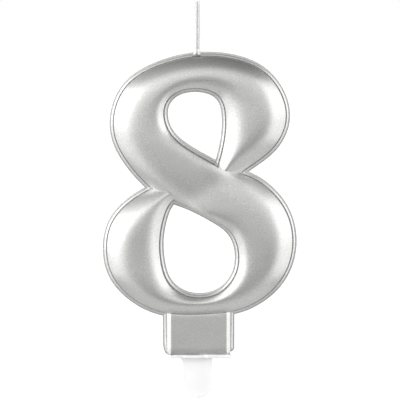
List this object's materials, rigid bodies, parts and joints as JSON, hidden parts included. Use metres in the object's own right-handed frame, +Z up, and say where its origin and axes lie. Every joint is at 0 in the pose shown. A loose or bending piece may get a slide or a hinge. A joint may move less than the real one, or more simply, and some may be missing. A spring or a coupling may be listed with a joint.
{
  "type": "number birthday candle",
  "caption": "Cast wax birthday candle in the form of a puffed numeral 8 with a silver finish, standing on a block foot with a flat cake pick below and a wick on top.",
  "frame": {"origin": "middle of the foot's underside, where it rests on the icing", "axes": "+Z up through the numeral to the wick; the numeral faces -Y; +X to its right"},
  "size_m": [0.0463, 0.0112, 0.095],
  "materials": {
    "silver_wax": "satin silver lacquer with a fine metallic grain over wax",
    "waxed_cotton": "white braided cotton stiffened with wax, slightly glossy",
    "pick_plastic": "milky translucent moulded plastic, smooth"
  },
  "bodies": {
    "root": {"number_body": "silver_wax", "wick": "waxed_cotton", "cake_pick": "pick_plastic"}
  },
  "joints": []
}
